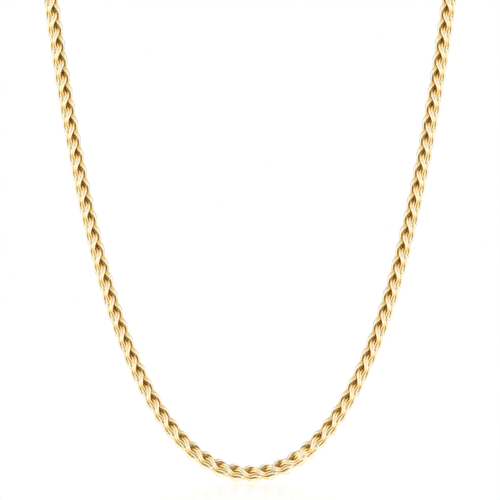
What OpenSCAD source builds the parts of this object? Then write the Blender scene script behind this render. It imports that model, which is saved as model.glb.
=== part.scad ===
// Wheat chain necklace: a whole closed loop that hangs from the nape.
// X runs across the neck, Y from the front strand to the nape, and Z up.
// The origin is the middle of the nape, on the line of the closed clasp.

/* [Chain] */
// Width of the chain over its ears
chain_d = 4; // [2:0.1:6]

/* [Front strand] */
// Distance between the strands where they leave the front
span = 119.4; // [80:0.2:160]
// Height of the hanging curve below that place
drop = 142.2; // [80:0.2:220]

/* [Back strand] */
// Distance from the front curve back to the nape
depth = 68; // [45:1:110]
// Height of the nape above the top of the front curve
rise = 22; // [14:1:40]

/* [Rings] */
// Radius of a jump ring, at the middle of its wire
ring_r = 2.2; // [1.8:0.1:3.5]
// Radius of a jump ring's wire
ring_wire = 0.45; // [0.3:0.05:0.6]

/* [End caps] */
// Length of a cap's cup
cap_len = 3.4; // [2.5:0.1:5]
// Wall of the cup, round the chain
cap_wall = 0.4; // [0.25:0.05:0.8]
// Thickness of the cup's closed end
cap_floor = 0.7; // [0.6:0.05:1]
// Radius of the cap's eye, at the middle of its wire
eye_r = 1.3; // [1.2:0.05:2]
// Radius of the eye's wire
eye_wire = 0.5; // [0.35:0.05:0.55]

/* [Clasp] */
// Radius of the clasp's hook, at the middle of its wire
hook_r = 2.1; // [1.8:0.1:3]
// Radius of the hook's wire
hook_wire = 0.85; // [0.6:0.05:1]
// Length of the straight sides of the hook
hook_len = 4; // [2:0.2:8]
// Length of the flat heel behind the hook
heel_len = 3.6; // [2:0.2:5]
// Length of the thumb lever that stands out from the hook's side
lever_len = 1.2; // [0.6:0.1:2]

/* [Hidden] */
$fn = 48;

gold = [0.93, 0.72, 0.34];
// Clearance between pieces that are threaded through each other
link_gap = 0.1;
// Clearance between the chain's end and the cup round it
cup_gap = 0.15;
// Straight stretch of chain that enters a cup
straight_end = 4;
// Pull of the back curve's ends: upwards at the front, and along X at the nape
front_lead = 32;
nape_lead = 40;
// Sides of the chain's round section, and its rings along each stretch
sides = 12;
front_rings = 22;
back_rings = 16;
// How much closer the rings stand at the bottom of the front curve, where it bends most
ring_crowding = 1.3;

// Closure, worked out along X from the clasp's own middle
half_hook = hook_len / 2;
nose_inside = half_hook + hook_r - hook_wire;
clasp_eye_x = -half_hook - heel_len - eye_r;
hole_slack = eye_r - eye_wire - ring_wire - link_gap;
catch_ring_near = nose_inside - ring_wire - link_gap;
jump_ring_near = clasp_eye_x - hole_slack;
right_eye = catch_ring_near + 2 * ring_r + hole_slack;
left_eye = jump_ring_near - 2 * ring_r - hole_slack;
// The clasp is moved so that both cups lie the same distance from the middle
clasp_x = -(right_eye + left_eye) / 2;
eye_x = (right_eye - left_eye) / 2;
cup_x = eye_x + eye_r;
chain_end = cup_x + cap_floor + cup_gap;

// Front curve: a catenary whose constant fits the span and the drop
half_span = span / 2;
function cosh(v) = (exp(v) + exp(-v)) / 2;
function asinh(v) = ln(v + sqrt(v * v + 1));
function sag(a) = a * (cosh(half_span / a) - 1);
function solve_sag(low, high, turns) =
    let (mid = (low + high) / 2)
    turns == 0 ? mid : sag(mid) > drop ? solve_sag(mid, high, turns - 1) : solve_sag(low, mid, turns - 1);
cat_a = solve_sag(drop / 20, drop * 10, 50);
front_half = sqrt(pow(cat_a + drop, 2) - cat_a * cat_a);
bottom_z = -rise - drop;
function front_point(s) = [
    cat_a * asinh(s / cat_a),
    -depth,
    bottom_z + sqrt(s * s + cat_a * cat_a) - cat_a,
];

// Back curve: one cubic from the top of the front curve round to the cup
top = front_point(front_half);
top_dir = [cat_a, 0, front_half] / (cat_a + drop);
nape_end = [chain_end + straight_end, 0, 0];
function back_point(t) =
    top * pow(1 - t, 3) + (top + top_dir * front_lead) * 3 * pow(1 - t, 2) * t
    + (nape_end + [nape_lead, 0, 0]) * 3 * (1 - t) * t * t + nape_end * pow(t, 3);

// Right half of the route from the lowest point to the cup, then the whole route from cup to cup
right_half = [
    for (i = [0:front_rings]) front_point(front_half * pow(i / front_rings, ring_crowding)),
    for (i = [1:back_rings]) back_point(i / back_rings),
    [chain_end, 0, 0],
];
last = len(right_half) - 1;
route = [
    for (i = [0:last - 1]) [-right_half[last - i].x, right_half[last - i].y, right_half[last - i].z],
    for (p = right_half) p,
];

// A tube along a route, whose rings keep from turning about it
function unit(v) = v / norm(v);
function tangent(p, i) = unit(p[min(i + 1, len(p) - 1)] - p[max(i - 1, 0)]);
function square_to(v, t) = unit(v - (v * t) * t);
function ring_ups(p, i, up) =
    let (here = square_to(up, tangent(p, i)))
    i == len(p) - 1 ? [here] : concat([here], ring_ups(p, i + 1, here));
function ring_points(c, t, up, r) = [
    for (k = [0:sides - 1])
    let (a = 360 * k / sides) c + r * (cos(a) * up + sin(a) * cross(t, up)),
];
module tube(p, r) {
    ups = ring_ups(p, 0, [0, 0, 1]);
    n = len(p);
    points = [for (i = [0:n - 1]) each ring_points(p[i], tangent(p, i), ups[i], r)];
    walls = [
        for (i = [0:n - 2], k = [0:sides - 1])
        let (a = i * sides + k, b = i * sides + (k + 1) % sides) each [[a, b + sides, b], [a, a + sides, b + sides]],
    ];
    start = [for (k = [0:sides - 1]) k];
    end = [for (k = [0:sides - 1]) n * sides - 1 - k];
    polyhedron(points, concat(walls, [start, end]));
}

// A ring of round wire; it lies flat, with its axis along Z
module wire_ring(r, wire) {
    rotate_extrude() translate([r, 0]) circle(wire);
}

module chain() {
    color(gold) tube(route, chain_d / 2);
}

// The cup opens along +X, and its eye stands at its closed end, with its axis along Y
module end_cap() {
    color(gold) {
        difference() {
            rotate([0, 90, 0]) cylinder(r = chain_d / 2 + cup_gap + cap_wall, h = cap_len);
            translate([cap_floor, 0, 0]) rotate([0, 90, 0]) cylinder(r = chain_d / 2 + cup_gap, h = cap_len);
        }
        translate([-eye_r, 0, 0]) rotate([90, 0, 0]) wire_ring(eye_r, eye_wire);
    }
}

module end_cap_right() {
    translate([cup_x, 0, 0]) end_cap();
}

module end_cap_left() {
    mirror([1, 0, 0]) end_cap_right();
}

module jump_ring() {
    color(gold) translate([clasp_x + jump_ring_near - ring_r, 0, 0]) wire_ring(ring_r, ring_wire);
}

module catch_ring() {
    color(gold) translate([clasp_x + catch_ring_near + ring_r, 0, 0]) wire_ring(ring_r, ring_wire);
}

// Outline of the heel from its narrow end at the eye to the hook's full width
heel_steps = 12;
heel_tip = eye_wire * 2;
heel_side = [
    for (i = [0:heel_steps])
    let (u = i / heel_steps) [heel_len * (u - 1), heel_tip + (hook_r + hook_wire - heel_tip) * sqrt(u * (2 - u))],
];
heel_outline = [each heel_side, for (i = [heel_steps:-1:0]) [heel_side[i].x, -heel_side[i].y]];

// A closed hook with a thumb lever, on a flat heel with an eye behind it
module clasp() {
    color(gold) translate([clasp_x, 0, 0]) rotate([90, 0, 0]) {
        translate([half_hook, 0, 0]) rotate([0, 0, -90])
            rotate_extrude(angle = 180) translate([hook_r, 0]) circle(hook_wire);
        for (side = [-1, 1])
            translate([-half_hook, side * hook_r, 0]) rotate([0, 90, 0]) cylinder(r = hook_wire, h = hook_len);
        translate([-half_hook, 0, 0]) linear_extrude(height = hook_wire * 2, center = true) polygon(heel_outline);
        translate([0, hook_r, 0]) rotate([-90, 0, 0]) cylinder(r = hook_wire * 0.7, h = hook_wire + lever_len);
        translate([clasp_eye_x, 0, 0]) wire_ring(eye_r, eye_wire);
    }
}

chain();
end_cap_left();
end_cap_right();
jump_ring();
catch_ring();
clasp();
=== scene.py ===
import math

import bpy
import numpy as np
from bpy.props import FloatProperty, FloatVectorProperty, IntProperty, PointerProperty
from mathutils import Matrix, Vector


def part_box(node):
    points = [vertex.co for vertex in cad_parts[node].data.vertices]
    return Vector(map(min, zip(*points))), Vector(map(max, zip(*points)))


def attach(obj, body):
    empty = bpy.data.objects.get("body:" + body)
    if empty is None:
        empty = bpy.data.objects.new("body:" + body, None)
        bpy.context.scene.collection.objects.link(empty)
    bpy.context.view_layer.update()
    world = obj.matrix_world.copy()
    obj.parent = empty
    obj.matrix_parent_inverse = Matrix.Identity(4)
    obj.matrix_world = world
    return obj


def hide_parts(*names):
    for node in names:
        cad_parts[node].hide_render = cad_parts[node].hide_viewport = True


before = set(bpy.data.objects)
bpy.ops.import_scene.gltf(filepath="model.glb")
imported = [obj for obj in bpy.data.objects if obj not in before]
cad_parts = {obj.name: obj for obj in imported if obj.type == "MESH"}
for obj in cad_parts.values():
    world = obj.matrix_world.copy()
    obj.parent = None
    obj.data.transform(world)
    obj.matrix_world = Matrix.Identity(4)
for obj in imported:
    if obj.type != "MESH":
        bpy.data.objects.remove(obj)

bl_info = {
    "name": "Wheat Chain Necklace",
    "version": (1, 0, 0),
    "blender": (4, 5, 0),
    "location": "View3D > Sidebar > Necklace",
    "description": "Models the links, the fittings and the stage of a wheat chain necklace",
    "category": "Object",
}

MM = 0.001

# Bends of one ear of a link, from the fold in the chain's middle to the ear's tip:
#   along  distance down the chain, in pitches
#   turn   turn round the chain, in degrees
#   out    distance from the chain's middle, as a share of half the chain's width less half a wire
#   half   half the distance between the ear's two wires, in wire diameters
#   lean   turn of the two wires about the ear's own middle, in degrees
BENDS = [
    dict(along=0.15, turn=0, out=0.10, half=0.49, lean=0),
    dict(along=0.45, turn=-7, out=0.83, half=0.49, lean=14),
    dict(along=0.75, turn=-20, out=1.38, half=0.47, lean=27),
    dict(along=1.05, turn=-44, out=1.15, half=0.44, lean=12),
    dict(along=1.35, turn=-71, out=0.84, half=0.48, lean=3),
    dict(along=1.66, turn=-58, out=0.98, half=0.52, lean=-30),
    dict(along=2.02, turn=-76, out=1.00, half=0.71, lean=-63),
]

# Places along an ear that its wire's length is measured at, and steps of wire round half its tip
EAR_PLACES = 80
TIP_STEPS = 4

# Painted shade: each point of a link gets an amount of it, the sum of three parts, which darkens the gold
# towards amber where a link lies close to the next and its neighbours would shade it.
# Depth in the chain: its weight, and the radius where it starts, as a share of the chain's width
DEEP_SHADE, DEEP_RADIUS = 0.36, 0.6
# Stretch under the neighbours: its weight, and where the ear starts to come out and is out, in pitches
TUCKED_SHADE, TUCKED_FROM, TUCKED_TO = 0.40, 0.44, 0.90
# Neck of the ear, pinched by its neighbours: its weight, its place and half its length, in pitches
NECK_SHADE, NECK_PLACE, NECK_HALF = 0.34, 1.42, 0.2
# Amounts of painted shade at which the gold is left unshaded, is painted amber and is painted its darkest
# shade
UNSHADED_AT, AMBER_SHADE_AT, DARKEST_SHADE_AT = 0.10, 0.44, 0.80


class NecklaceChain(bpy.types.PropertyGroup):
    """Sizes of the chain's links"""

    width: FloatProperty(
        name="Width", description="Width of the chain over its ears", default=4.06 * MM, unit="LENGTH",
    )
    wire: FloatProperty(
        name="Wire", description="Diameter of a link's wire", default=0.702 * MM, unit="LENGTH",
    )
    pitch: FloatProperty(
        name="Pitch", description="Length of chain from one ear to the next on the same side",
        default=4.826 * MM, unit="LENGTH",
    )
    roll: FloatProperty(
        name="Roll", description="Turn of the whole braid about its own length", default=math.radians(-30.3),
        subtype="ANGLE",
    )
    offset: FloatProperty(
        name="Offset", description="Distance of the other side's links down the chain, in pitches",
        default=0.505,
    )
    back_offset: FloatProperty(
        name="Back Offset", description="Distance of a link's back ear down the chain, in pitches",
        default=-0.294,
    )
    squeeze: FloatProperty(
        name="Squeeze", description="Share of its width that the chain loses where a cup holds it",
        subtype="FACTOR", default=0.14, min=0, max=0.4,
    )
    steps: IntProperty(
        name="Steps", description="Steps of wire from a link's fold to its ear's tip", default=12, min=6,
        max=20,
    )


class NecklaceRoute(bpy.types.PropertyGroup):
    """Sizes of the loop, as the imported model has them"""

    span: FloatProperty(
        name="Span", description="Distance between the strands at the top of the front curve",
        default=119.4 * MM, unit="LENGTH",
    )
    drop: FloatProperty(
        name="Drop", description="Height of the hanging front curve", default=142.2 * MM, unit="LENGTH",
    )
    depth: FloatProperty(
        name="Depth", description="Distance from the front curve back to the nape", default=68.0 * MM,
        unit="LENGTH",
    )
    rise: FloatProperty(
        name="Rise", description="Height of the nape above the front curve", default=22.0 * MM,
        unit="LENGTH",
    )
    front_lead: FloatProperty(
        name="Front Lead", description="Upward pull of the back curve at its front end", default=32.0 * MM,
        unit="LENGTH",
    )
    nape_lead: FloatProperty(
        name="Nape Lead", description="Sideways pull of the back curve at the nape", default=40.0 * MM,
        unit="LENGTH",
    )
    chain_end: FloatProperty(
        name="Chain End", description="Distance from the middle of the nape to the chain's end",
        default=11.725 * MM, unit="LENGTH",
    )
    straight_end: FloatProperty(
        name="Straight End", description="Straight chain before its end", default=4.0 * MM, unit="LENGTH",
    )
    held_end: FloatProperty(
        name="Held End", description="Length of chain inside a cup", default=2.55 * MM, unit="LENGTH",
    )
    narrowing: FloatProperty(
        name="Narrowing", description="Length over which the chain narrows before a cup", default=5.0 * MM,
        unit="LENGTH",
    )
    meeting: FloatProperty(
        name="Meeting",
        description="Length along the chain from its lowest place to where the two halves meet",
        default=14.4 * MM, unit="LENGTH",
    )
    low_turn: FloatProperty(
        name="Low Turn", description="Turn of the braid about its own length at its lowest place",
        default=math.radians(-22.0), subtype="ANGLE",
    )
    low_length: FloatProperty(
        name="Low Length", description="Length of chain over which that turn fades on each side",
        default=28.0 * MM, unit="LENGTH",
    )
    reach_right: FloatProperty(
        name="Reach Right",
        description="Length by which the right half of the chain reaches over the meeting place",
        default=2.82 * MM, unit="LENGTH",
    )
    reach_left: FloatProperty(
        name="Reach Left",
        description="Length by which the left half of the chain reaches over the meeting place",
        default=8.02 * MM, unit="LENGTH",
    )


class NecklaceFittings(bpy.types.PropertyGroup):
    """Sizes of the caps, the rings and the clasp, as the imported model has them"""

    cup_start: FloatProperty(
        name="Cup Start", description="Distance from the middle of the nape to a cup's closed end",
        default=10.875 * MM, unit="LENGTH",
    )
    eye_radius: FloatProperty(
        name="Eye Radius", description="Radius of an eye, at the middle of its wire", default=1.3 * MM,
        unit="LENGTH",
    )
    eye_wire: FloatProperty(
        name="Eye Wire", description="Radius of an eye's wire", default=0.5 * MM, unit="LENGTH",
    )
    ring_radius: FloatProperty(
        name="Ring Radius", description="Radius of a jump ring, at the middle of its wire", default=2.2 * MM,
        unit="LENGTH",
    )
    ring_wire: FloatProperty(
        name="Ring Wire", description="Radius of a jump ring's wire", default=0.45 * MM, unit="LENGTH",
    )
    hook_radius: FloatProperty(
        name="Hook Radius", description="Radius of the clasp's hook, at the middle of its wire",
        default=2.1 * MM, unit="LENGTH",
    )
    hook_wire: FloatProperty(
        name="Hook Wire", description="Half thickness of the clasp", default=0.85 * MM, unit="LENGTH",
    )
    hook_length: FloatProperty(
        name="Hook Length", description="Length of the hook's straight sides", default=4.0 * MM,
        unit="LENGTH",
    )
    heel_length: FloatProperty(
        name="Heel Length", description="Length of the clasp's heel", default=3.6 * MM, unit="LENGTH",
    )
    clasp_middle: FloatProperty(
        name="Clasp Middle", description="Place of the middle of the hook's straight sides along X",
        default=2.225 * MM, unit="LENGTH",
    )


class NecklaceFinish(bpy.types.PropertyGroup):
    """Colours, with the chain's painted shade, and gloss"""

    gold: FloatVectorProperty(
        name="Gold", description="Colour of the polished gold", subtype="COLOR", size=3,
        default=(0.96, 0.86, 0.62),
    )
    fitting: FloatVectorProperty(
        name="Fitting Gold", description="Colour of the smooth gold of the fittings", subtype="COLOR",
        size=3, default=(0.94, 0.70, 0.34),
    )
    # Painted shade and painted reflected gold: the amber that darkens the gold where one link lies close to
    # the next
    amber_shade: FloatVectorProperty(
        name="Amber", description="Colour of the gold where one link lies close to the next",
        subtype="COLOR", size=3, default=(0.94, 0.67, 0.24),
    )
    # Painted shade: the darkest colour, deep between the links
    shade: FloatVectorProperty(
        name="Crevice", description="Colour of the gold deep between the links", subtype="COLOR", size=3,
        default=(1.00, 0.63, 0.19),
    )
    reflection: FloatProperty(
        name="Reflection", description="Share of the floor's light that mirrors what stands on it",
        subtype="FACTOR", default=0.5, min=0, max=1,
    )


# Helpers


def settings():
    return bpy.context.scene


def select_only(*objects):
    bpy.ops.object.select_all(action="DESELECT")
    for ob in objects:
        ob.select_set(True)
    bpy.context.view_layer.objects.active = objects[-1]


def node(tree, kind, **values):
    n = tree.nodes.new(kind)
    for name, value in values.items():
        setattr(n, name, value)
    return n


def smoothstep(x):
    return x * x * (3 - 2 * x)


def smooth_value(column, along):
    """Value of one column of BENDS at a distance along the ear, on a smooth curve through its rows."""
    xs = np.array([row["along"] for row in BENDS])
    ys = np.array([row[column] for row in BENDS], dtype=float)
    slopes = np.gradient(ys, xs)
    i = np.clip(np.searchsorted(xs, along, side="right") - 1, 0, len(xs) - 2)
    h = xs[i + 1] - xs[i]
    t = (along - xs[i]) / h
    return (
        (2 * t**3 - 3 * t**2 + 1) * ys[i]
        + (t**3 - 2 * t**2 + t) * h * slopes[i]
        + (3 * t**2 - 2 * t**3) * ys[i + 1]
        + (t**3 - t**2) * h * slopes[i + 1]
    )


# Route


# Samples of each of the route's two curves, and the distance between its final points
ROUTE_SAMPLES = 800
ROUTE_STEP = 0.5 * MM
# Length of the run before the lowest place
RUN_UP = 40 * MM


def front_scale(route):
    """Constant of the hanging curve that fits its span and drop."""
    low, high, half = route.drop / 20, route.drop * 10, route.span / 2
    for _ in range(60):
        middle = (low + high) / 2
        if middle * (math.cosh(half / middle) - 1) > route.drop:
            low = middle
        else:
            high = middle
    return middle


def route_points(route, beyond):
    """Points at equal steps along the right half, from before its lowest place to beyond the chain's end."""
    a = front_scale(route)
    front_half = math.sqrt((a + route.drop) ** 2 - a * a)
    bottom = -route.rise - route.drop
    s = np.linspace(-RUN_UP, front_half, ROUTE_SAMPLES)
    front_z = bottom + np.sqrt(s * s + a * a) - a
    front = np.stack([a * np.arcsinh(s / a), np.full_like(s, -route.depth), front_z], axis=1)
    t = np.linspace(0, 1, ROUTE_SAMPLES)[1:, None]
    p0 = front[-1]
    p1 = p0 + np.array([a, 0, front_half]) / (a + route.drop) * route.front_lead
    p3 = np.array([route.chain_end + route.straight_end, 0, 0])
    p2 = p3 + np.array([route.nape_lead, 0, 0])
    back = p0 * (1 - t) ** 3 + p1 * 3 * (1 - t) ** 2 * t + p2 * 3 * (1 - t) * t**2 + p3 * t**3
    dense = np.concatenate([front, back, [[route.chain_end - beyond, 0, 0]]])
    length = np.concatenate([[0], np.cumsum(np.linalg.norm(np.diff(dense, axis=0), axis=1))])
    count = round(length[-1] / ROUTE_STEP)
    at = np.linspace(0, length[-1], count + 1)
    return np.stack([np.interp(at, length, dense[:, k]) for k in range(3)], axis=1), length[-1]


def route_curve(points, radii, tilts):
    """Curve that the links are bent along.

    Its radii narrow the chain where it enters the cup, and its tilts turn the braid about its own length.
    """
    curve = bpy.data.curves.new("route", "CURVE")
    curve.dimensions = "3D"
    curve.twist_mode = "MINIMUM"
    curve.use_radius = True
    spline = curve.splines.new("POLY")
    spline.points.add(len(points) - 1)
    spline.points.foreach_set("co", np.concatenate([points, np.ones((len(points), 1))], axis=1).ravel())
    spline.points.foreach_set("radius", radii)
    spline.points.foreach_set("tilt", tilts)
    ob = bpy.data.objects.new("route", curve)
    bpy.context.collection.objects.link(ob)
    return ob


# Materials


# Fine unevenness of polished gold: scale and detail of the noise, roughness from smoothest to roughest,
# strength and height of the relief, and how much it darkens the colour
GRAIN_SCALE, GRAIN_DETAIL = 900, 3
SMOOTHEST, ROUGHEST = 0.14, 0.26
RELIEF, RELIEF_HEIGHT = 0.06, 0.05 * MM
GRAIN_TONE = 0.9
# Sockets of a Mix node: its two colours and the one that comes out, and its two numbers
COLOUR_A, COLOUR_B, COLOUR_OUT = 6, 7, 2
NUMBER_A, NUMBER_B = 2, 3


def gold_material(name, with_painted_shade):
    """Polished gold with fine polishing marks; the chain's gold also gets painted shade, from amber to dark,
    where the links lie close together.
    """
    finish = settings().necklace_finish
    mat = bpy.data.materials.new(name)
    mat.use_nodes = True
    tree = mat.node_tree
    shader = tree.nodes["Principled BSDF"]
    shader.inputs["Metallic"].default_value = 1.0
    place = node(tree, "ShaderNodeTexCoord")
    grain = node(tree, "ShaderNodeTexNoise")
    grain.inputs["Scale"].default_value = GRAIN_SCALE
    grain.inputs["Detail"].default_value = GRAIN_DETAIL
    tree.links.new(place.outputs["Object"], grain.inputs["Vector"])
    gloss = node(tree, "ShaderNodeMapRange")
    gloss.inputs["To Min"].default_value = SMOOTHEST
    gloss.inputs["To Max"].default_value = ROUGHEST
    tree.links.new(grain.outputs["Fac"], gloss.inputs["Value"])
    tree.links.new(gloss.outputs["Result"], shader.inputs["Roughness"])
    bump = node(tree, "ShaderNodeBump")
    bump.inputs["Strength"].default_value = RELIEF
    bump.inputs["Distance"].default_value = RELIEF_HEIGHT
    tree.links.new(grain.outputs["Fac"], bump.inputs["Height"])
    tree.links.new(bump.outputs["Normal"], shader.inputs["Normal"])
    tone = node(tree, "ShaderNodeMix", data_type="RGBA", blend_type="MULTIPLY")
    tone.inputs[COLOUR_A].default_value = (*finish.fitting, 1)
    tone.inputs[COLOUR_B].default_value = (GRAIN_TONE, GRAIN_TONE, GRAIN_TONE, 1)
    tree.links.new(grain.outputs["Fac"], tone.inputs[0])
    if with_painted_shade:
        # Painted shade: a ramp from the unshaded gold through amber to the darkest shade, following each
        # point's amount of shade
        painted_shade = node(tree, "ShaderNodeAttribute", attribute_name="painted_shade")
        ramp = node(tree, "ShaderNodeValToRGB")
        stops = ramp.color_ramp.elements
        stops[0].position, stops[0].color = UNSHADED_AT, (*finish.gold, 1)
        stops[1].position, stops[1].color = DARKEST_SHADE_AT, (*finish.shade, 1)
        stops.new(AMBER_SHADE_AT).color = (*finish.amber_shade, 1)
        tree.links.new(painted_shade.outputs["Fac"], ramp.inputs["Fac"])
        tree.links.new(ramp.outputs["Color"], tone.inputs[COLOUR_A])
    tree.links.new(tone.outputs[COLOUR_OUT], shader.inputs["Base Color"])
    return mat


def shared_gold(with_painted_shade=False):
    name = "chain gold" if with_painted_shade else "fitting gold"
    return bpy.data.materials.get(name) or gold_material(name, with_painted_shade)


# Chain


def ear_points(chain):
    """Points of an ear's wire, from the fold up one side, round the tip and back down the other side."""
    room = chain.width / 2 - chain.wire / 2
    along = np.linspace(BENDS[0]["along"], BENDS[-1]["along"], EAR_PLACES)
    out = smooth_value("out", along) * room
    turn = np.radians(smooth_value("turn", along))
    steps = np.sqrt(np.diff(out) ** 2 + (np.diff(along) * chain.pitch) ** 2 + (out[1:] * np.diff(turn)) ** 2)
    length = np.concatenate([[0], np.cumsum(steps)])
    tip = BENDS[-1]["half"] * chain.wire
    straight = length[-1] - tip
    q = np.concatenate([
        np.linspace(0, straight, chain.steps),
        straight + tip * np.sin(np.linspace(0, math.pi / 2, TIP_STEPS + 1)[1:]),
    ])
    at, r, a = (np.interp(q, length, values) for values in (along, out, turn))
    across = np.gradient(a, q) * r
    down = np.gradient(at * chain.pitch, q)
    size = np.hypot(across, down)
    lean = np.radians(smooth_value("lean", at))
    half = np.where(
        q <= straight,
        smooth_value("half", at) * chain.wire,
        np.sqrt(np.clip(tip**2 - (q - straight) ** 2, 0, None)),
    )

    def side(sign):
        radial = r + sign * half * np.sin(lean)
        round_chain = sign * half * np.cos(lean) * down / size
        z = at * chain.pitch - sign * half * np.cos(lean) * across / size
        x = radial * np.cos(a) - round_chain * np.sin(a)
        y = radial * np.sin(a) + round_chain * np.cos(a)
        return np.stack([x, y, z], axis=1)

    return np.concatenate([side(1), side(-1)[::-1][1:]])


def paint_shade(link, chain):
    """Give each point of a link its amount of painted shade, which darkens the gold's colour towards amber
    and dark.
    """
    mesh = link.data
    painted_shade = mesh.attributes.new("painted_shade", "FLOAT", "POINT")
    places = np.empty(len(mesh.vertices) * 3)
    mesh.vertices.foreach_get("co", places)
    x, y, z = places.reshape(-1, 3).T
    depth = 1 - np.hypot(y, z) / (DEEP_RADIUS * chain.width)
    in_back = y * math.cos(chain.roll) + z * math.sin(chain.roll) > 0
    along = -x / chain.pitch - np.where(in_back, chain.back_offset, 0)
    tucked = np.clip((TUCKED_TO - along) / (TUCKED_TO - TUCKED_FROM), 0, 1)
    pinched = np.exp(-(((along - NECK_PLACE) / NECK_HALF) ** 2))
    # Painted shade deep in the chain, under the neighbours and at the pinched neck
    tone = DEEP_SHADE * np.maximum(depth, 0) + TUCKED_SHADE * smoothstep(tucked) + NECK_SHADE * pinched
    painted_shade.data.foreach_set("value", np.clip(tone, 0, 1))


def wire_link(chain):
    """One link, bent from a circle of wire: a front and a back ear on one fold, both towards lower X."""
    front = ear_points(chain)
    back = front[::-1] * np.array([-1, 1, 1]) + np.array([0, 0, chain.back_offset * chain.pitch])
    points = np.concatenate([front, back])
    bpy.ops.object.select_all(action="DESELECT")
    bpy.ops.mesh.primitive_circle_add(vertices=len(points), radius=chain.width)
    link = bpy.context.object
    c, s = math.cos(chain.roll), math.sin(chain.roll)
    for vertex, (x, y, z) in zip(link.data.vertices, points):
        vertex.co = (-z, -(x * c - y * s), -(x * s + y * c))
    bpy.ops.object.convert(target="CURVE")
    link.data.dimensions = "3D"
    link.data.bevel_depth = chain.wire / 2
    link.data.bevel_resolution = 1
    bpy.ops.object.convert(target="MESH")
    paint_shade(link, chain)
    return link


def link_pair(chain):
    """Two links as one piece: the second is the first's mirror image, and lies further down the chain."""
    first = wire_link(chain)
    select_only(first)
    bpy.ops.object.duplicate()
    second = bpy.context.object
    bpy.ops.object.mode_set(mode="EDIT")
    bpy.ops.mesh.select_all(action="SELECT")
    # the mirror is the plane that parts the ears
    bpy.ops.transform.rotate(value=chain.roll, orient_axis="X", center_override=(0, 0, 0))
    bpy.ops.transform.mirror(constraint_axis=(False, False, True), center_override=(0, 0, 0))
    bpy.ops.mesh.flip_normals()
    bpy.ops.transform.rotate(value=-chain.roll, orient_axis="X", center_override=(0, 0, 0))
    bpy.ops.transform.translate(value=(-chain.pitch * chain.offset, 0, 0))
    bpy.ops.object.mode_set(mode="OBJECT")
    select_only(second, first)
    bpy.ops.object.join()
    return bpy.context.object


def lay_along(pair, curve, pitch, count, start):
    """Repeat a pair of links from a place on the curve and bend the whole row along it."""
    bpy.ops.object.mode_set(mode="EDIT")
    bpy.ops.mesh.select_all(action="SELECT")
    bpy.ops.transform.translate(value=(start, 0, 0))
    bpy.ops.object.mode_set(mode="OBJECT")
    row = pair.modifiers.new("pairs", "ARRAY")
    row.use_relative_offset = False
    row.use_constant_offset = True
    row.constant_offset_displace = (pitch, 0, 0)
    row.count = count
    bend = pair.modifiers.new("route", "CURVE")
    bend.object = curve
    bend.deform_axis = "POS_X"
    bpy.ops.object.modifier_apply(modifier="pairs")
    bpy.ops.object.modifier_apply(modifier="route")


def cut_in_cup(links, route):
    """Cut the wires off square inside the cup on the right."""
    near_cup = [v.co.y > -route.depth / 4 for v in links.data.vertices]
    bpy.ops.object.mode_set(mode="EDIT")
    bpy.ops.mesh.select_all(action="DESELECT")
    bpy.ops.object.mode_set(mode="OBJECT")
    links.data.vertices.foreach_set("select", near_cup)
    bpy.ops.object.mode_set(mode="EDIT")
    bpy.ops.mesh.bisect(
        plane_co=(route.chain_end, 0, 0), plane_no=(1, 0, 0), use_fill=True, clear_inner=True
    )
    bpy.ops.object.mode_set(mode="OBJECT")


def strand(name, curve, count, start, mirrored):
    """Half of the chain: pairs of links laid along the route; the mirrored half is the left one."""
    chain = settings().necklace_chain
    links = link_pair(chain)
    links.name = links.data.name = name
    lay_along(links, curve, chain.pitch, count, start)
    cut_in_cup(links, settings().necklace_route)
    if mirrored:
        bpy.ops.object.mode_set(mode="EDIT")
        bpy.ops.mesh.select_all(action="SELECT")
        bpy.ops.transform.mirror(constraint_axis=(True, False, False), center_override=(0, 0, 0))
        bpy.ops.mesh.flip_normals()
        bpy.ops.object.mode_set(mode="OBJECT")
    bpy.ops.object.shade_smooth()
    links.data.materials.clear()
    links.data.materials.append(shared_gold(with_painted_shade=True))
    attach(links, "root")
    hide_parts("chain")


class NECKLACE_OT_chain(bpy.types.Operator):
    """Model the chain's links and lay them along the whole loop, in two halves that face each other"""

    bl_idname = "necklace.chain"
    bl_label = "Chain"

    def execute(self, context):
        route = context.scene.necklace_route
        chain = context.scene.necklace_chain
        reach = chain.pitch * (BENDS[-1]["along"] + chain.offset)
        points, length = route_points(route, reach)
        from_lip = np.linspace(length, 0, len(points)) - reach - route.held_end
        share = np.clip(from_lip / route.narrowing, 0, 1)
        radii = 1 - chain.squeeze * (1 - smoothstep(share))
        from_lowest = np.linspace(0, length, len(points)) - RUN_UP
        tilts = route.low_turn * np.exp(-((from_lowest / route.low_length) ** 2))
        curve = route_curve(points, radii, tilts)
        for name, place, mirrored in (
            ("chain_right", route.meeting - route.reach_right, False),
            ("chain_left", -route.meeting - route.reach_left, True),
        ):
            start = RUN_UP + place + reach
            count = int((length - start) // chain.pitch) + 1
            strand(name, curve, count, start, mirrored)
        bpy.data.objects.remove(curve)
        return {"FINISHED"}


# Fittings


# Steps round a ring, round its wire and round a cup
RING_STEPS, WIRE_STEPS, CUP_STEPS = 96, 16, 48
# Points of a mesh that lie nearer to each other than this are one
MERGED = 0.002 * MM
# Angles in degrees: up to the first a fitting is shaded smooth, and past the second an edge is rounded
SMOOTH_ANGLE, SHARP_ANGLE = 35, 50


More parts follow.
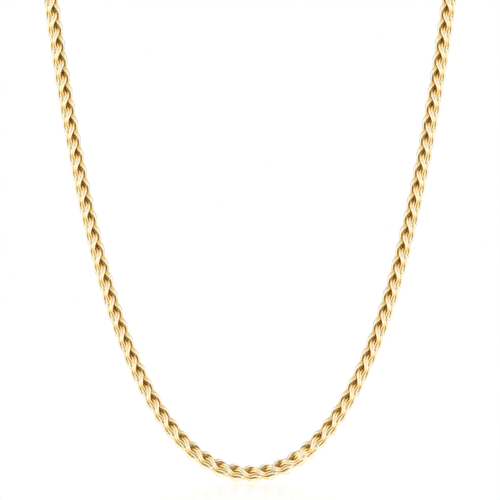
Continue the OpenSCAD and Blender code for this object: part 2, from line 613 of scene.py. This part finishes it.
def outline(name, points, closed=True):
    """A line of edges through points, made from a circle, and left in edit mode with all of it selected."""
    bpy.ops.object.select_all(action="DESELECT")
    bpy.ops.mesh.primitive_circle_add(vertices=len(points), radius=MM)
    ob = bpy.context.object
    ob.name = ob.data.name = name
    for vertex, point in zip(ob.data.vertices, points):
        vertex.co = point
    ends = {0, len(points) - 1}
    for vertex in ob.data.vertices:
        vertex.select = vertex.index in ends
    for edge in ob.data.edges:
        edge.select = set(edge.vertices) == ends
    bpy.ops.object.mode_set(mode="EDIT")
    if not closed:
        bpy.ops.mesh.select_mode(type="EDGE")
        bpy.ops.mesh.delete(type="EDGE")
        bpy.ops.mesh.select_mode(type="VERT")
    bpy.ops.mesh.select_all(action="SELECT")
    return ob


def finish_mesh(ob):
    """Merge doubles, turn every face outwards and shade the piece smooth."""
    select_only(ob)
    bpy.ops.object.mode_set(mode="EDIT")
    bpy.ops.mesh.select_all(action="SELECT")
    bpy.ops.mesh.remove_doubles(threshold=MERGED)
    bpy.ops.mesh.normals_make_consistent(inside=False)
    bpy.ops.object.mode_set(mode="OBJECT")
    bpy.ops.object.shade_smooth_by_angle(angle=math.radians(SMOOTH_ANGLE))


def wire_ring(name, radius, wire, centre, upright):
    """A ring of round wire; an upright one has its axis along Y."""
    bpy.ops.object.select_all(action="DESELECT")
    bpy.ops.mesh.primitive_torus_add(
        major_radius=radius, minor_radius=wire, major_segments=RING_STEPS, minor_segments=WIRE_STEPS,
        location=centre, rotation=(math.pi / 2 if upright else 0, 0, 0),
    )
    ring = bpy.context.object
    ring.name = ring.data.name = name
    bpy.ops.object.transform_apply(location=True, rotation=True, scale=True)
    bpy.ops.object.shade_smooth()
    return ring


def rounded_edges(ob, width):
    bevel = ob.modifiers.new("edges", "BEVEL")
    bevel.width = width
    bevel.segments = 3
    bevel.angle_limit = math.radians(SHARP_ANGLE)
    select_only(ob)
    bpy.ops.object.modifier_apply(modifier="edges")


def dress(ob, node_name):
    ob.data.materials.clear()
    ob.data.materials.append(shared_gold())
    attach(ob, "root")
    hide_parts(node_name)


# Section of a cup from the middle of its closed end round the lip to the middle of its bore:
# (distance along the cup, radius), in millimetres
CUP_SECTION = [
    (0.00, 0.00), (0.00, 1.10), (0.10, 1.62), (0.36, 2.04), (0.80, 2.30), (1.30, 2.36), (1.42, 2.28),
    (1.54, 2.28), (1.66, 2.38), (2.50, 2.40), (2.62, 2.52), (2.86, 2.55), (3.16, 2.55), (3.34, 2.48),
    (3.40, 2.36), (3.38, 2.22), (3.24, 2.15), (0.85, 2.15), (0.70, 2.02), (0.70, 0.00),
]


def cup(side):
    """A cup with an eye at its closed end, spun from its section; side is 1 on the right, -1 on the left."""
    fit = settings().necklace_fittings
    name = "end_cap_right" if side > 0 else "end_cap_left"
    section = [(side * (fit.cup_start + along * MM), radius * MM, 0) for along, radius in CUP_SECTION]
    ob = outline(name + "_cup", section, closed=False)
    bpy.ops.mesh.spin(steps=CUP_STEPS, angle=2 * math.pi, center=(0, 0, 0), axis=(1, 0, 0))
    bpy.ops.object.mode_set(mode="OBJECT")
    finish_mesh(ob)
    eye_centre = (side * (fit.cup_start - fit.eye_radius), 0, 0)
    eye = wire_ring(name + "_eye", fit.eye_radius, fit.eye_wire, eye_centre, True)
    select_only(eye, ob)
    bpy.ops.object.join()
    dress(ob, name)


# Seam where a ring's ends are soldered: its place round the ring and half its length, as angles, and the
# share of the wire's thickness that is left there
SEAM_ANGLE, SEAM_HALF, SEAM_SHARE = math.pi / 4, 0.01, 0.93


def jump_ring(name, centre):
    """A ring of round wire with a fine seam where its ends are soldered."""
    fit = settings().necklace_fittings
    ob = wire_ring(name + "_wire", fit.ring_radius, fit.ring_wire, (0, 0, 0), False)
    for vertex in ob.data.vertices:
        x, y, z = vertex.co
        rim = math.hypot(x, y)
        dent = SEAM_SHARE if abs(math.atan2(y, x) - SEAM_ANGLE) < SEAM_HALF else 1.0
        out = (fit.ring_radius + (rim - fit.ring_radius) * dent) / rim
        vertex.co = (centre + x * out, y * out, z * dent)
    dress(ob, name)


class NECKLACE_OT_end_caps(bpy.types.Operator):
    """Spin the two cups that hold the chain's ends, each with its eye"""

    bl_idname = "necklace.end_caps"
    bl_label = "End Caps"

    def execute(self, context):
        cup(1)
        cup(-1)
        return {"FINISHED"}


class NECKLACE_OT_rings(bpy.types.Operator):
    """Make the jump ring and the ring that the clasp catches"""

    bl_idname = "necklace.rings"
    bl_label = "Rings"

    def execute(self, context):
        for name in ("jump_ring", "catch_ring"):
            low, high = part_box(name)
            jump_ring(name, (low[0] + high[0]) / 2)
        return {"FINISHED"}


def clasp_hook(fit):
    """Hook and gate as one closed tube, pinched where the gate ends, at the nose and at its pivot."""
    side, nose = fit.hook_radius, fit.hook_length / 2
    run_into_heel, round_end = 1.0 * MM, 1.4 * MM
    near_nose, near_pivot = 0.01 * MM, 0.25 * MM
    shown, buried, pinched = 0.97, 0.9, 0.84
    arc = np.linspace(-math.pi / 2, math.pi / 2, 17)
    along = np.linspace(-nose - run_into_heel, nose, 12)[:-1]
    path = [(x, -side) for x in along]
    path += [(nose + side * math.cos(a), side * math.sin(a)) for a in arc]
    path += [(x, side) for x in along[::-1]]
    path += [(along[0] - round_end * math.cos(a), -side * math.sin(a)) for a in arc[1:-1]]
    hook = outline("clasp_hook", [(fit.clasp_middle + x, 0, z) for x, z in path])
    bpy.ops.object.mode_set(mode="OBJECT")
    bpy.ops.object.convert(target="CURVE")
    hook.data.dimensions = "3D"
    hook.data.bevel_depth = fit.hook_wire
    hook.data.bevel_resolution = 4
    for point in hook.data.splines[0].points:
        x, z = point.co[0] - fit.clasp_middle, point.co[2]
        point.radius = buried if x < -nose else shown
        gate_ends = abs(x - nose) < near_nose or abs(x + nose) < near_pivot
        if gate_ends and z > 0.9 * side:
            point.radius = pinched
    bpy.ops.object.convert(target="MESH")
    bpy.ops.object.shade_smooth()
    return hook


def clasp_heel(fit):
    """A flat plate that narrows from the hook's width to the eye."""
    far = fit.hook_length / 2 + fit.heel_length
    narrow = 2 * fit.eye_wire
    wide = fit.hook_radius + 0.94 * fit.hook_wire
    thick = 0.98 * 2 * fit.hook_wire
    share = np.linspace(0, 1, 13)
    edge = [(-far + fit.heel_length * u, narrow + (wide - narrow) * math.sqrt(u * (2 - u))) for u in share]
    edge += [(x, -z) for x, z in edge[::-1]]
    heel = outline("clasp_heel", [(fit.clasp_middle + x, -thick / 2, z) for x, z in edge])
    bpy.ops.mesh.edge_face_add()
    bpy.ops.mesh.extrude_region_move(TRANSFORM_OT_translate={"value": (0, thick, 0)})
    bpy.ops.object.mode_set(mode="OBJECT")
    finish_mesh(heel)
    rounded_edges(heel, 0.35 * MM)
    return heel


def clasp_lever(fit):
    """The gate's thumb lever, which leans a little towards the heel."""
    foot = fit.hook_radius + 0.3 * fit.hook_wire
    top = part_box("clasp")[1][2]
    lean = 0.3
    bpy.ops.object.select_all(action="DESELECT")
    bpy.ops.mesh.primitive_cone_add(
        vertices=24, radius1=0.8 * fit.hook_wire, radius2=0.55 * fit.hook_wire, depth=top - foot,
        location=(fit.clasp_middle, 0, (top + foot) / 2),
    )
    lever = bpy.context.object
    bpy.ops.object.transform_apply(location=True, rotation=True, scale=True)
    for vertex in lever.data.vertices:
        vertex.co.x -= lean * (vertex.co.z - foot)
    rounded_edges(lever, 0.2 * MM)
    return lever


def clasp_pin(fit):
    """The gate's pivot pin, a little proud of the heel's faces."""
    behind_nose = fit.hook_length / 2 + 1.1 * MM
    bpy.ops.object.select_all(action="DESELECT")
    bpy.ops.mesh.primitive_cylinder_add(
        vertices=24, radius=0.42 * MM, depth=1.04 * 2 * fit.hook_wire,
        location=(fit.clasp_middle - behind_nose, 0, fit.hook_radius / 2), rotation=(math.pi / 2, 0, 0),
    )
    pin = bpy.context.object
    bpy.ops.object.transform_apply(location=True, rotation=True, scale=True)
    rounded_edges(pin, 0.06 * MM)
    return pin


class NECKLACE_OT_clasp(bpy.types.Operator):
    """Model the closed lobster clasp: hook, gate, heel, thumb lever, pivot and eye"""

    bl_idname = "necklace.clasp"
    bl_label = "Clasp"

    def execute(self, context):
        fit = context.scene.necklace_fittings
        hook = clasp_hook(fit)
        heel, lever, pin = clasp_heel(fit), clasp_lever(fit), clasp_pin(fit)
        eye_x = fit.clasp_middle - fit.hook_length / 2 - fit.heel_length - fit.eye_radius
        eye = wire_ring("clasp_eye", fit.eye_radius, fit.eye_wire, (eye_x, 0, 0), True)
        for ob in (heel, lever, pin):
            select_only(ob)
            bpy.ops.object.shade_smooth_by_angle(angle=math.radians(SMOOTH_ANGLE))
        select_only(heel, lever, pin, eye, hook)
        bpy.ops.object.join()
        hook.name = hook.data.name = "clasp_lobster"
        dress(hook, "clasp")
        return {"FINISHED"}


# Stage


# Floor: its size, its distance below the chain, and how rough its gloss is
FLOOR_SIZE, FLOOR_GAP, FLOOR_ROUGHNESS = 4, 0.4 * MM, 0.22
# Brightness of the empty tent behind the object, as the rough floor mirrors it
MIRRORED = 0.62
# Light that the tent gives from everywhere
TENT = 0.18
# Banks of lights in the tent: the axis and sign that they stand on, how narrow they are, and their strength
BANKS = (
    ("X", -1.0, 2.0, 1.18), ("X", 1.0, 2.0, 1.18), ("Z", 1.0, 2.0, 0.71), ("Z", -1.0, 2.0, 1.06),
    ("Y", -1.0, 1.0, 0.66), ("Y", 1.0, 1.0, 0.14), ("Y", 1.0, 40.0, 0.50),
)
# Width that the camera sees at the front curve, and its distance from there
FRAME_WIDTH = 150 * MM
CAMERA_DISTANCE = 1.5


def floor_material(finish):
    """A white that glows and mirrors what stands on it; the two together keep an empty floor white."""
    mat = bpy.data.materials.new("white gloss floor")
    mat.use_nodes = True
    tree = mat.node_tree
    tree.nodes.remove(tree.nodes["Principled BSDF"])
    glow = node(tree, "ShaderNodeEmission")
    glow.inputs["Strength"].default_value = 1 - finish.reflection * MIRRORED
    mirror = node(tree, "ShaderNodeBsdfGlossy")
    mirror.inputs["Color"].default_value = (finish.reflection,) * 3 + (1,)
    mirror.inputs["Roughness"].default_value = FLOOR_ROUGHNESS
    both = node(tree, "ShaderNodeAddShader")
    tree.links.new(glow.outputs[0], both.inputs[0])
    tree.links.new(mirror.outputs[0], both.inputs[1])
    tree.links.new(both.outputs[0], tree.nodes["Material Output"].inputs["Surface"])
    return mat


def light_tent():
    """A world that lights the object from its banks, and that the camera sees as plain white."""
    world = bpy.data.worlds.new("light tent")
    world.use_nodes = True
    tree = world.node_tree
    place = node(tree, "ShaderNodeTexCoord")
    split = node(tree, "ShaderNodeSeparateXYZ")
    tree.links.new(place.outputs["Generated"], split.inputs[0])

    def calc(operation, a, b):
        n = node(tree, "ShaderNodeMath", operation=operation)
        for socket, value in zip(n.inputs, (a, b)):
            if isinstance(value, (int, float)):
                socket.default_value = value
            else:
                tree.links.new(value, socket)
        return n.outputs[0]

    total = TENT
    for axis, sign, narrowness, strength in BANKS:
        facing = calc("MAXIMUM", calc("MULTIPLY", split.outputs[axis], sign), 0.0)
        total = calc("ADD", calc("MULTIPLY", calc("POWER", facing, narrowness), strength), total)
    sight = node(tree, "ShaderNodeLightPath")
    seen = node(tree, "ShaderNodeMix", data_type="FLOAT")
    tree.links.new(sight.outputs["Is Camera Ray"], seen.inputs[0])
    tree.links.new(total, seen.inputs[NUMBER_A])
    seen.inputs[NUMBER_B].default_value = 1.0
    back = tree.nodes["Background"]
    tree.links.new(seen.outputs[0], back.inputs["Strength"])
    back.inputs["Color"].default_value = (1, 1, 1, 1)
    return world


def front_camera(route):
    """A camera that looks level at the front curve, whose top ends are at the top of its frame."""
    data = bpy.data.cameras.new("camera")
    data.lens = data.sensor_width * CAMERA_DISTANCE / FRAME_WIDTH
    camera = bpy.data.objects.new("camera", data)
    camera.location = (0, -route.depth - CAMERA_DISTANCE, -route.rise - FRAME_WIDTH / 2)
    camera.rotation_euler = (math.pi / 2, 0, 0)
    return camera


class NECKLACE_OT_stage(bpy.types.Operator):
    """Make the glossy floor, the white light tent and the camera"""

    bl_idname = "necklace.stage"
    bl_label = "Stage"

    def execute(self, context):
        scene = context.scene
        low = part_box("chain")[0]
        bpy.ops.object.select_all(action="DESELECT")
        bpy.ops.mesh.primitive_plane_add(size=FLOOR_SIZE, location=(0, 0, low[2] - FLOOR_GAP))
        floor = bpy.context.object
        floor.name = "floor"
        bpy.ops.object.transform_apply(location=True, rotation=True, scale=True)
        floor.data.materials.append(floor_material(scene.necklace_finish))
        floor.visible_glossy = floor.visible_diffuse = False
        scene.world = light_tent()
        camera = front_camera(scene.necklace_route)
        scene.collection.objects.link(camera)
        scene.camera = camera
        scene.view_settings.view_transform = "Standard"
        return {"FINISHED"}


class NECKLACE_PT_panel(bpy.types.Panel):
    """Sizes, finishes and steps of the necklace"""

    bl_idname = "NECKLACE_PT_panel"
    bl_label = "Wheat Chain Necklace"
    bl_space_type = "VIEW_3D"
    bl_region_type = "UI"
    bl_category = "Necklace"

    def draw(self, context):
        layout = self.layout
        scene = context.scene
        groups = (scene.necklace_chain, scene.necklace_route, scene.necklace_fittings, scene.necklace_finish)
        for group in groups:
            box = layout.box()
            for name in group.bl_rna.properties.keys():
                if name not in ("rna_type", "name"):
                    box.prop(group, name)
        for operator in OPERATORS:
            layout.operator(operator.bl_idname)


OPERATORS = (NECKLACE_OT_chain, NECKLACE_OT_end_caps, NECKLACE_OT_rings, NECKLACE_OT_clasp, NECKLACE_OT_stage)
CLASSES = (NecklaceChain, NecklaceRoute, NecklaceFittings, NecklaceFinish, *OPERATORS, NECKLACE_PT_panel)


def register():
    for cls in CLASSES:
        bpy.utils.register_class(cls)
    bpy.types.Scene.necklace_chain = PointerProperty(type=NecklaceChain)
    bpy.types.Scene.necklace_route = PointerProperty(type=NecklaceRoute)
    bpy.types.Scene.necklace_fittings = PointerProperty(type=NecklaceFittings)
    bpy.types.Scene.necklace_finish = PointerProperty(type=NecklaceFinish)


def unregister():
    del bpy.types.Scene.necklace_finish
    del bpy.types.Scene.necklace_fittings
    del bpy.types.Scene.necklace_route
    del bpy.types.Scene.necklace_chain
    for cls in reversed(CLASSES):
        bpy.utils.unregister_class(cls)


def main():
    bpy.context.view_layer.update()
    register()
    bpy.ops.necklace.chain()
    bpy.ops.necklace.end_caps()
    bpy.ops.necklace.rings()
    bpy.ops.necklace.clasp()
    bpy.ops.necklace.stage()


if __name__ == "__main__":
    main()
